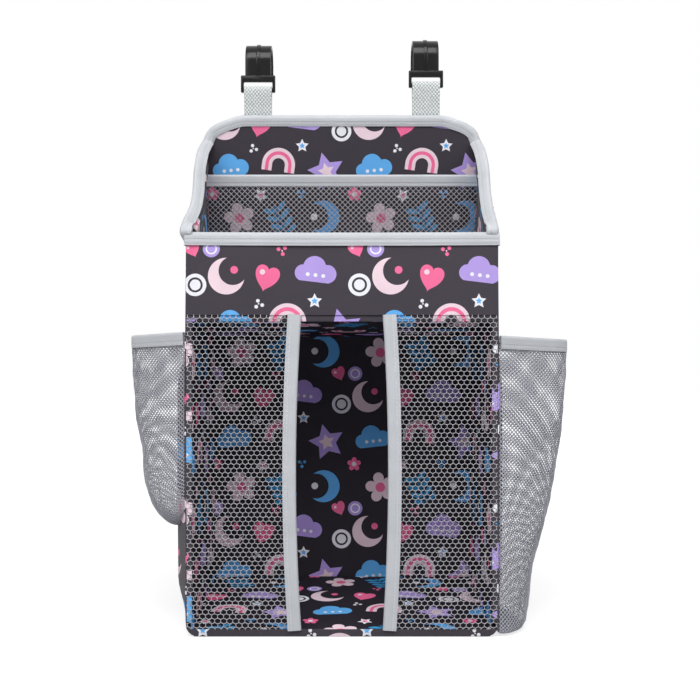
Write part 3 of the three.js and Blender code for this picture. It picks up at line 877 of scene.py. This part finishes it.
addCloth("baseOuterCloth", (24, 14), layBase, *outer, "base_outer_fabric", (0.2336, 0.1524))
addCloth("floorLining", (30, 20), layFloor, *dark, "base_lining", (0.2414, 0.148))
addCloth("frontHem", (60, 4), layHem, *outer, "base_front_hem", None)
addCloth("shelfUnderCloth", (24, 14), layCeiling, *dark, "shelf_under_fabric", (0.2486, 0.149))
addCloth("shelfTopCloth", (24, 14), layTrayFloor, *inner, "shelf_top_fabric", (0.2472, 0.1443))
addCloth("trayFrontCloth", (40, 14), layTrayFront, *outer, "tray_front_fabric", (0.2512, 0.065))
addTrim("shelfSeam", (60, 6), layShelfSeam)
addCloth("trayFrontLining", (24, 8), layTrayLining, *inner, "tray_front_lining", (0.2476, 0.0648))
print("base, shelf and tray made")


# Bindings: folded tape carried along an edge, with a stitch row near its free edges

def foldedSection(share, reach, half):
    # share from -1 to 1 across the folded tape, as a place across and a depth
    turn = pi / 2 * half
    total = turn + reach - half
    away = abs(share) * total
    if away < turn:
        across, depth = half * sin(away / half), half * (1 - cos(away / half))
    else:
        across, depth = half, half + away - turn
    return copysign(across, share), depth, away


def addTape(name, stations, reach, half, node, across=22):
    # stations are places on the tape's fold with the way into the sheet
    places = [Vector(place) for place, _ in stations]
    spans = runningLengths(places)
    last = len(stations) - 1

    def lay(u, v):
        i = min(round(v * last), last)
        ahead = places[min(i + 1, last)] - places[max(i - 1, 0)]
        into = Vector(stations[i][1])
        into = (into - ahead * (into.dot(ahead) / ahead.length_squared)).normalized()
        face = ahead.cross(into).normalized()
        wide = half(i / last) if callable(half) else half
        offset, depth, away = foldedSection(2 * u - 1, reach, wide)
        if depth > reach - 0.0012:
            offset *= 0.86
        wobble = 0.00012 * sin(spans[i] * 310) * (1 if u > 0.5 else -1)
        return places[i] + into * depth + face * (offset + wobble), (spans[i], away)

    tape = addSheet(name, across, last, lay)
    finishPiece(tape, "tape", node, thickness["tape"], smooth=60)
    widest = half(0.5) if callable(half) else half
    declareCloth(tape, 2 * foldedSection(1, reach, widest)[2], spans[-1], "folded")


rim = {
    "depth": 0.0096,
    "half": {"panel": 0.0034, "wing": 0.0021},
    "reach": {"left": [0.1275, 0.1287, 0.1286, 0.1286, 0.1286, 0.1284, 0.1284, 0.129, 0.1298],
              "right": [0.1271, 0.1279, 0.1279, 0.128, 0.128, 0.1278, 0.1276, 0.127, 0.1262]},
    # where the panel's corner starts, in degrees, and how far it flares there
    "corner": 34,
    "flare": 0.0044,
}


def wingStations(side, sign):
    # from the back panel's corner down to the tray's front
    outs = [*rim["reach"][side], wing["flare"][side]]
    points = [(out, y, z) for out, (y, z) in zip(outs, wing["edge"][::-1])]
    end = points[-1][0]
    points += [(end - 0.0008, -0.0758, 0.3225), (end - 0.004, -0.0752, 0.317)]
    angle = radians(30)
    radial = Vector((-cos(angle), 0, 0)) + panelDown * sin(angle)
    stations = []
    for share in np.linspace(0, 1, 84):
        x, y, z = blendPoints(points, share)
        ahead = blendPoints(points, min(share + 0.01, 1)) - blendPoints(points, max(share - 0.01, 0))
        drop = Vector((0, -ahead[2], ahead[1])).normalized()
        if drop.z > 0:
            drop = -drop
        into = Vector((-1, 0, 0)) * 0.84 + drop * (0.54 * (1 - ease((share - 0.8) / 0.1)))
        if share < 0.12:
            into = radial.lerp(into, ease(share / 0.12))
        stations.append((Vector((sign * x, y, z)), Vector((sign * into.x, into.y, into.z))))
    return stations


def panelStations():
    # over the back panel's top, from its left corner to its right one
    radius = body["cornerRadius"]
    centre = body["halfWidth"] + 0.0011 - radius
    half = body["wall"] / 2
    right = []
    for turn in np.radians(np.linspace(rim["corner"], 90, 22)):
        reach = radius + rim["flare"] * (1 - ease((degrees(turn) - rim["corner"]) / 36))
        place = backPoint(centre + reach * cos(turn), panelTop - radius + reach * sin(turn), half)
        right.append((place, Vector((-cos(turn), 0, 0)) + panelDown * sin(turn)))
    left = [(Vector((-p.x, p.y, p.z)), Vector((-w.x, w.y, w.z))) for p, w in right]
    middle = [(backPoint(x, panelTop, half), panelDown) for x in np.linspace(-centre, centre, 24)[1:-1]]
    return [*left, *middle, *right[::-1]]


def rimHalf(share):
    # slim on the wings and thicker over the padded panel
    slim, full = rim["half"]["wing"], rim["half"]["panel"]
    return slim + (full - slim) * ease((min(share, 1 - share) - 0.24) / 0.1)


leftWing, rightWing = [wingStations(side, sign) for side, sign in sides]
rimStations = [*leftWing[:0:-1], *panelStations(), *rightWing[1:]]
rimNodes = ["top_binding", "wing_binding_left", "wing_binding_right"]
addTape("rimTape", rimStations, rim["depth"], rimHalf, rimNodes, across=20)


def addStraightTape(name, start, end, into, reach, half, node, bow=None):
    stations = []
    for share in np.linspace(0, 1, 60):
        place = Vector(start).lerp(Vector(end), share)
        if bow:
            place += bow(share)
        stations.append((place, into))
    addTape(name, stations, reach, half, [node])


def slitBow(sign):
    # the slit's edges part a little halfway up
    def bow(share):
        spreading = 0.0043 * (1 - (2 * share - 1) ** 2)
        return Vector((sign * spreading, -0.0006 * arch(share), 0))
    return bow


def traySwell(share):
    return Vector((0, -0.001 * arch(share) - 0.0005, -0.0006 * arch(share)))


trayTape = {"half": 0.1262, "y": -0.075, "z": body["trayTop"], "reach": 0.0106}


def addTapeEnd(side, sign):
    # the tray tape's end, turned over the corner and sewn down
    def lay(u, v):
        swell = arch(u) * cos(pi / 2 * v)
        y = trayTape["y"] + 0.0041 * (2 * u - 1) * (1 - 0.35 * v**4)
        z = trayTape["z"] - trayTape["reach"] + 0.0104 * v
        return (sign * (0.1263 + 0.0007 * swell), y, z), (0.012 * v, 0.004 * u)

    addTrim(f"trayTapeEnd_{side}", (10, 10), lay, "tape", "tape", 60)


slit = {"x": 0.033, "foot": 0.0056, "top": 0.2588}


def addSlitTape(side, sign):
    start, end = [(sign * slit["x"], -body["halfDepth"], slit[level]) for level in ("foot", "top")]
    node = f"slit_binding_{side}"
    addStraightTape(f"slitTape_{side}", start, end, (sign, 0, 0), 0.0106, 0.0014, node, slitBow(sign))


corners = [(sign * trayTape["half"], trayTape["y"], trayTape["z"]) for _, sign in sides]
reach = trayTape["reach"]
addStraightTape("trayFrontTape", *corners, (0, 0, -1), reach, 0.0034, "tray_front_binding", traySwell)
for side, sign in sides:
    addTapeEnd(side, sign)
mouth = [backPoint(sign * 0.1232, body["height"] + 0.139, 0.0194) for _, sign in sides]
addStraightTape("trayPocketTape", *mouth, panelDown, 0.0101, 0.0013, "tray_pocket_binding")
for side, sign in sides:
    addSlitTape(side, sign)
print("bindings sewn on")


# Nets: honeycomb knit, worked flat in millimetres and then laid in its place

knits = {
    "front": {"sides": 6, "pitch": 4.9, "row": 3.55, "strand": 0.57},
    "tray": {"sides": 4, "pitch": 4.95, "row": 2.45, "strand": 0.6},
    "pouch": {"sides": 4, "pitch": 4.1, "row": 1.9, "strand": 0.9},
}


def repeatPiece(piece, count, offset):
    modify(
        piece, "ARRAY", count=count, use_relative_offset=False, use_constant_offset=True,
        constant_offset_displace=offset, use_merge_vertices=True, merge_threshold=0.01,
    )


def flatKnit(name, knit, width, height):
    pitch, row = knit["pitch"], knit["row"]
    # a hexagon is taller than its pitch, and a diamond isn't
    shape, radius = (sqrt(3), pitch / sqrt(3)) if knit["sides"] == 6 else (1, pitch / 2)
    clearSelection()
    bpy.ops.mesh.primitive_circle_add(vertices=knit["sides"], radius=radius, fill_type="NGON")
    cloth = nameIt(bpy.context.object, name)
    inMode("EDIT")
    bpy.ops.transform.resize(value=(1, 2 * row / (pitch * shape), 1))
    bpy.ops.transform.translate(value=(-pitch, -row, 0))
    inMode("OBJECT")
    repeatPiece(cloth, ceil(width / pitch) + 2, (pitch, 0, 0))
    repeatPiece(cloth, 2, (pitch / 2, row, 0))
    repeatPiece(cloth, ceil(height / row / 2) + 2, (0, 2 * row, 0))
    inMode("EDIT")
    bpy.ops.mesh.select_all(action="SELECT")
    bpy.ops.mesh.remove_doubles(threshold=0.01)
    bpy.ops.mesh.inset(thickness=knit["strand"] / 2, use_individual=True)
    bpy.ops.mesh.delete(type="FACE")
    for spot, way in (
        ((0, 0, 0), (-1, 0, 0)), ((width, 0, 0), (1, 0, 0)),
        ((0, 0, 0), (0, -1, 0)), ((0, height, 0), (0, 1, 0)),
    ):
        bpy.ops.mesh.select_all(action="SELECT")
        bpy.ops.mesh.bisect(plane_co=spot, plane_no=way, clear_outer=True)
    inMode("OBJECT")
    return cloth


def addNet(name, knit, size, lay, material, node):
    width, height = size
    cloth = flatKnit(name, knits[knit], width * 1000, height * 1000)
    mesh = cloth.data
    uses = np.bincount([loop.edge_index for loop in mesh.loops], minlength=len(mesh.edges))
    rimPoints = {i for edge in mesh.edges if uses[edge.index] == 1 for i in edge.vertices}
    core = cloth.vertex_groups.new(name="strandCore")
    core.add(range(len(mesh.vertices)), 1.0, "REPLACE")
    core.add(sorted(rimPoints), 0.3, "REPLACE")
    for point in mesh.vertices:
        point.co = lay(point.co.x / 1000 / width, point.co.y / 1000 / height)
    modify(cloth, "SOLIDIFY", thickness=thickness["yarn"], offset=0, vertex_group=core.name)
    cloth.vertex_groups.clear()
    finishPiece(cloth, material, [node], smooth=75)
    whole = width * height
    area = min(max(clothArea(cloth), 0.3 * whole), whole)


frontNet = {"foot": 0.0058, "tall": 0.2532, "far": 0.1252, "near": 0.0385}


def addFrontNet(side, sign):
    def lay(s, t):
        z = frontNet["foot"] + frontNet["tall"] * t
        edge = frontNet["near"] + slitBow(1)(t).x
        x = edge + (min(frontNet["far"], frontHalfWidth(z)) - edge) * s
        wave = 0.0007 * sin(19 * z + 2) * arch(s)
        return (sign * x, -body["halfDepth"] + 0.0004 - wave - 0.0006 * arch(s), z)

    size = (frontNet["far"] - frontNet["near"], frontNet["tall"])
    addNet(f"frontNetCloth_{side}", "front", size, lay, "frontNet", f"front_net_{side}")


trayNet = {"foot": body["height"] - 0.003, "tall": 0.1405, "half": 0.1233}


def layTrayNet(s, t):
    x, along = (2 * s - 1) * trayNet["half"], trayNet["foot"] + trayNet["tall"] * t
    return backPoint(x, along, 0.0194 + 0.0012 * arch(s) * t)


for side, sign in sides:
    addFrontNet(side, sign)
traySize = (2 * trayNet["half"], trayNet["tall"])
addNet("trayNetCloth", "tray", traySize, layTrayNet, "frontNet", "tray_pocket_net")
print("front nets and tray net made")


# Side pouches: nets that hang open from a bound mouth

pouches = {
    "left": {
        "bottom": 0.0788, "top": 0.245, "low": 0.0355, "high": 0.0195,
        "round": 0.35, "power": 2.8, "sag": 0.0016, "lift": 0.014, "tilt": 0.009,
        "pinch": (0.4, 0.0022),
    },
    "right": {
        "bottom": 0.0008, "top": 0.242, "low": 0.0265, "high": 0.0415,
        "round": 0.035, "power": 5, "sag": 0.002, "lift": 0.002, "tilt": 0,
        "pinch": (0.2, 0.0034),
    },
}


def pouchPoint(side, sign, across, z):
    pouch = pouches[side]
    tall = pouch["top"] - pouch["bottom"]
    share = min(max((z - pouch["bottom"]) / tall, 0), 1)
    full = sin(share * pi / 2)
    curl = pouch["round"] * tall
    low = min(max(1 - (z - pouch["bottom"]) / curl, 0), 1)
    roundness = max(1 - low ** pouch["power"], 0) ** (1 / pouch["power"])
    place, depth = pouch["pinch"]
    drawnIn = depth * exp(-(((share - place) / 0.11) ** 2))
    reach = (pouch["low"] + pouch["high"] * full - drawnIn) * roundness
    skew = 0.55 + 0.45 * full
    y = -0.076 + 0.1465 * across
    fold = 0.0013 * sin(5 * pi * across + 9 * z) * roundness * share
    fold += 0.0007 * sin(60 * z + 17 * across) * sin(90 * y + 40 * z) * roundness
    fold += 0.0005 * sin(310 * z + 12 * across) * sin(420 * y + 60 * z) * roundness
    out = body["halfWidth"] + 0.0007 + reach * arch(across**skew) + fold * arch(across)
    besideBody = 0.1262 + sideBulge(y, z, side) - cornerCut(z, body["cornerRound"])
    return Vector((sign * max(out, besideBody), y, z))


def pouchRow(side, sign, z):
    # places along one level, evenly spaced along the net
    _, placeAt = pathThrough([pouchPoint(side, sign, i / 70, z) for i in range(71)])
    return placeAt


def pouchLevels(side):
    # heights from the bottom seam to the mouth, evenly spaced down the net's middle
    pouch = pouches[side]
    raw = [pouch["bottom"] + (pouch["top"] - pouch["bottom"]) * (i / 300) ** 1.6 for i in range(301)]
    spans = runningLengths([pouchPoint(side, 1, 0.42, z) for z in raw])
    return np.interp(np.linspace(0, spans[-1], 49), spans, raw), spans[-1]


def addPouch(side, sign):
    pouch = pouches[side]
    levels, deep = pouchLevels(side)
    rows = [pouchRow(side, sign, z) for z in levels]
    last = len(rows) - 1

    def lay(s, t):
        t = min(max(t, 0), 1) * (1 - 0.0015 / deep)
        i = min(int(t * last), last - 1)
        place = rows[i](s).lerp(rows[i + 1](s), t * last - i)
        nearSeam = max(0, 1 - s / 0.16) ** 2 + max(0, (s - 0.84) / 0.16) ** 2
        rise = (pouch["lift"] * nearSeam + pouch["tilt"] * (1 - s)) * (1 - t) ** 2
        return place + Vector((0, 0, rise - pouch["sag"] * arch(s) * t**3))

    mouth = rows[-1]
    wide = runningLengths([mouth(s) for s in np.linspace(0, 1, 60)])[-1]
    addNet(f"pouchNet_{side}", "pouch", (wide, deep), lay, "pouchNet", f"side_pocket_net_{side}")
    edge = np.linspace(0.006, 0.994, 70)
    stations = [(mouth(s) - Vector((0, 0, pouch["sag"] * arch(s))), (0, 0, -1)) for s in edge]
    addTape(f"pouchTape_{side}", stations, 0.0103, 0.0013, [f"side_pocket_binding_{side}"])


for side, sign in sides:
    addPouch(side, sign)
print("pouches made")


# Straps and hooks

strap = {
    "spacing": 0.154, "width": 0.0252, "ply": 0.0014, "hinge": (0.03931, 0.449012),
    # half the loop's width at the panel's edge and round the bar
    "apart": 0.0008, "loop": 0.0033,
}
hook = {
    "bars": {"left": 0.470012, "right": 0.474512},
    "radius": 0.0165, "crown": 0.0457, "width": 0.0236, "thickness": 0.003,
    "tip": radians(-10), "lip": 0.005, "lipTurn": radians(36), "frame": 0.0158,
}


def strapPath(side, centre):
    y, z = strap["hinge"]
    bar, loop = hook["bars"][side], strap["loop"]

    def behindPanel(alongs, inward):
        return [tuple(backPoint(centre, body["height"] + along, inward).yz) for along in alongs]

    # the two runs between the panel's edge and the bar
    run = [(strap["apart"] + (loop - strap["apart"]) * ease(share), share) for share in (0.3, 0.6, 0.85)]
    turns = np.linspace(pi, 0, 15)
    points = [*behindPanel(np.linspace(0.141, 0.19, 12), -0.00215), (y - 0.0004, z)]
    points += [(y - aside, z + (bar - z) * share) for aside, share in run]
    points += [(y + loop * cos(turn), bar + loop * sin(turn)) for turn in turns]
    points += [(y + aside, z + (bar - z) * share) for aside, share in run[::-1]]
    points += [(y + 0.0012, z), *behindPanel((0.186, 0.182, 0.178), -0.00368)]
    return [Vector((centre, a, b)) for a, b in points]


def addStrap(side, sign):
    centre = sign * strap["spacing"] / 2
    total, placeAt = pathThrough(strapPath(side, centre))

    def lay(u, v):
        offset = (u - 0.5) * strap["width"]
        return placeAt(v) + Vector((offset, 0, 0)), (v * total, offset)

    piece = addSheet(f"strapWebbing_{side}", 12, 110, lay)
    solids = [f"strap_tail_{side}", f"strap_loop_{side}"]
    finishPiece(piece, "webbing", solids, strap["ply"], None)
    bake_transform(piece)


def roundEdges(piece, width, segments=3):
    angle = radians(35)
    modify(piece, "BEVEL", width=width, segments=segments, limit_method="ANGLE", angle_limit=angle)


def addBlock(name, centre, half, deep, low, high):
    clearSelection()
    bpy.ops.mesh.primitive_cube_add(size=1)
    block = nameIt(bpy.context.object, name)
    inMode("EDIT")
    bpy.ops.transform.resize(value=(2 * half, 2 * deep, high - low))
    bpy.ops.transform.translate(value=(centre, strap["hinge"][0], (low + high) / 2))
    inMode("OBJECT")
    return block


def hookPath():
    # y and z from the middle of the bar, up and over the crook to its lip
    radius = hook["radius"]
    high = hook["crown"] - hook["thickness"] / 2 - radius
    points = [(0, 0.0112 + 0.0014 * i) for i in range(3)]
    turns = np.linspace(pi, hook["tip"], 44)
    points += [(radius + radius * cos(turn), high + radius * sin(turn)) for turn in turns]
    turned = hook["tip"] - hook["lipTurn"]
    step = (0.25 * hook["lip"] * cos(turned), 0.25 * hook["lip"] * sin(turned))
    for _ in range(4):
        points.append((points[-1][0] + step[0], points[-1][1] + step[1]))
    return points


def hookStrip(name, path, width, thick, shift, centre, bar, across=4):
    table = [Vector((0, y, z)) for y, z in path]
    last = len(table) - 1

    def lay(u, v):
        i = min(round(v * last), last)
        ahead = table[min(i + 1, last)] - table[max(i - 1, 0)]
        place = table[i] + Vector((0, -ahead.z, ahead.y)).normalized() * shift
        return Vector((centre + (u - 0.5) * width, place.y + strap["hinge"][0], place.z + bar)), (u, v)

    strip = addSheet(name, across, last, lay)
    modify(strip, "SOLIDIFY", thickness=thick, offset=0)
    return strip


def addHook(side, sign):
    centre, bar = sign * strap["spacing"] / 2, hook["bars"][side]
    path = hookPath()
    crook = hookStrip(f"hookBody_{side}", path, hook["width"], hook["thickness"], 0, centre, bar)
    roundEdges(crook, 0.0008)
    rib = hookStrip(f"hookRib_{side}", path[2:28], 0.0036, 0.0014, 0.0017, centre, bar, 2)
    roundEdges(rib, 0.0004, 2)
    holder = addBlock(f"hookFrame_{side}", centre, hook["frame"], 0.002, bar - 0.0017, bar + 0.0139)
    opening = addBlock("opening", centre, 0.0131, 0.01, bar + 0.0017, bar + 0.0079)
    modify(holder, "BOOLEAN", operation="DIFFERENCE", solver="EXACT", object=opening)
    bpy.data.objects.remove(opening, do_unlink=True)
    roundEdges(holder, 0.0009)
    clearSelection()
    for part in (rib, holder, crook):
        part.select_set(True)
    bpy.context.view_layer.objects.active = crook
    bpy.ops.object.join()
    finishPiece(crook, "plastic", [f"hook_{side}"], 0, f"hook_{side}", 35)


for side, sign in sides:
    addStrap(side, sign)
    addHook(side, sign)
print("straps and hooks made")


# Floor and light

studio = {
    "key": {"place": (-0.95, -1.25, 1.45), "power": 14},
    "fill": {"place": (1.1, -1.2, 1.35), "power": 10.5},
    "top": {"place": (0.0, -1.2, 1.9), "power": 26.5},
}
lampSize = 1.1

for lampName, spec in studio.items():
    clearSelection()
    bpy.ops.object.light_add(type="AREA", location=spec["place"])
    lamp = nameIt(bpy.context.object, f"{lampName}Lamp")
    lamp.data.shape = "SQUARE"
    lamp.data.size = lampSize
    lamp.data.energy = spec["power"]
    ray = Vector((0, 0, 0.23)) - lamp.location
    lamp.rotation_euler = ray.to_track_quat("-Z", "Y").to_euler()

clearSelection()
bpy.ops.mesh.primitive_plane_add(size=12, location=(0, 0, -0.0006))
floor = nameIt(bpy.context.object, "floor")


def chooseByRay(tree, output, rays, other, seen):
    # one shader for the kinds of ray that are named, and another for the rest
    path = tree.nodes.new("ShaderNodeLightPath").outputs
    share = either(*[Wire(path[f"Is {ray} Ray"]) for ray in rays])
    feed(tree.nodes[output].inputs["Surface"], addNode(tree, "MixShader", share, other, seen))


def makeFloor():
    material, tree, _ = newMaterial("paleFloor", 0.9, Base_Color=paint("b4b4b6"))
    # to the camera and in gloss the floor fades to white away from the object
    side, depth, _ = coordinates(tree).split()
    away = calc("SQRT", side * side + depth * depth) / 2.5
    fade = calc("MINIMUM", away, 1) * 0.35 + 0.68
    glow = addNode(tree, "Emission", Color=(1, 1, 1, 1), Strength=fade)
    plain = Wire(tree.nodes["Principled BSDF"].outputs[0])
    bright = addNode(tree, "AddShader", plain, glow)
    chooseByRay(tree, "Material Output", ("Camera", "Glossy"), plain, bright)
    return material


def lightWorld():
    world = bpy.data.worlds.new("studioWorld")
    bpy.context.scene.world = world
    world.use_nodes = True
    tree = world.node_tree
    soft = tree.nodes["Background"]
    feed(soft.inputs["Color"], (1, 1, 1, 1))
    feed(soft.inputs["Strength"], 0.18)
    bright = addNode(tree, "Background", Color=(1, 1, 1, 1), Strength=1.0)
    chooseByRay(tree, "World Output", ("Camera", "Glossy", "Transmission"), Wire(soft.outputs[0]), bright)


floor.data.materials.append(makeFloor())
lightWorld()
bpy.context.scene.view_settings.view_transform = "Standard"
print("studio ready")
